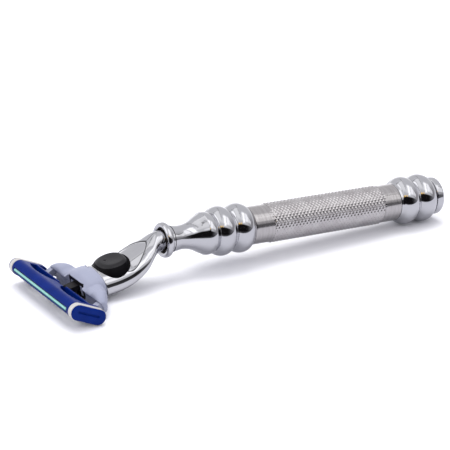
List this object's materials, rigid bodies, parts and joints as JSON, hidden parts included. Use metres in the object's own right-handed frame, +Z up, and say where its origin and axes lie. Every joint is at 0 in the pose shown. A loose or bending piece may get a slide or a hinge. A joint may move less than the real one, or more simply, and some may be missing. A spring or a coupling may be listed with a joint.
{
  "type": "cartridge razor",
  "caption": "Wet-shaving razor: knurled metal handle with turned beads, chromed swan-neck head, release button and a pivoting multi-blade cartridge on a slide-off carrier.",
  "frame": {"origin": "bottom centre of the bounding box, on the table that the razor lies on", "axes": "+X along the razor towards the pommel, +Z up from the table, the XZ plane is the plane of symmetry"},
  "size_m": [0.1428, 0.042, 0.0192],
  "materials": {
    "chrome": "mirror-bright chrome plate",
    "satin_steel": "satin, fine diamond knurl",
    "plain_steel": "plain turned steel",
    "blade_steel": "ground and polished",
    "brass": "plain",
    "clip_metal": "soft satin",
    "black_plastic": "fine matt",
    "button_plastic": "fine matt, satin on top",
    "nylon": "plain",
    "grey_plastic": "smooth satin, cool light grey",
    "blue_plastic": "semi-gloss blue",
    "mint_strip": "waxy, pale mint with a darker edge",
    "guard_rubber": "soft matt"
  },
  "bodies": {
    "handle": {"pommel": "chrome", "pommel_cap": "chrome", "rear_washer": "nylon", "grip_sleeve": "satin_steel", "core_rod": "plain_steel", "front_washer": "nylon", "ferrule": "chrome", "neck_insert": "brass", "collar_washer": "nylon", "neck_collar": "chrome", "adapter_stud": "plain_steel", "head_adapter": "chrome", "nose_insert": "black_plastic", "nose_screw": "plain_steel", "return_spring": "plain_steel"},
    "button": {"release_button": "button_plastic", "ejector": "grey_plastic"},
    "plunger": {"plunger": "black_plastic"},
    "carrier": {"carrier": "grey_plastic"},
    "cartridge": {"housing": "blue_plastic", "lubricating_strip": "mint_strip", "guard_fins": "guard_rubber", "clip_left": "clip_metal", "clip_right": "clip_metal", "blade_1": "blade_steel", "blade_2": "blade_steel", "blade_3": "blade_steel", "blade_support_1": "blade_steel", "blade_support_2": "blade_steel", "blade_support_3": "blade_steel"}
  },
  "joints": [
    {"name": "carrier_release", "type": "slide", "parent": "handle", "child": "carrier", "axis": [-0.9848, 0, -0.1736], "range_m": [0, 0.012]},
    {"name": "button_slide", "type": "slide", "parent": "handle", "child": "button", "axis": [-0.9848, 0, -0.1736], "range_m": [0, 0.003]},
    {"name": "cartridge_pivot", "type": "hinge", "parent": "carrier", "child": "cartridge", "pos_m": [-0.06226, 0, 0.00219], "axis": [0, 1, 0], "range_deg": [0, 40], "stiffness_Nm_per_rad": 0.006, "springref_deg": -22.92},
    {"name": "plunger_slide", "type": "slide", "parent": "handle", "child": "plunger", "axis": [0.9848, 0, 0.1736], "range_m": [0, 0.00113], "deforming": ["return_spring"]}
  ],
  "couplings": [
    {"joint": "button_slide", "follows": "carrier_release", "ratio": 0.25},
    {"joint": "cartridge_pivot", "follows": "plunger_slide", "rad_per_m": 617.28}
  ]
}
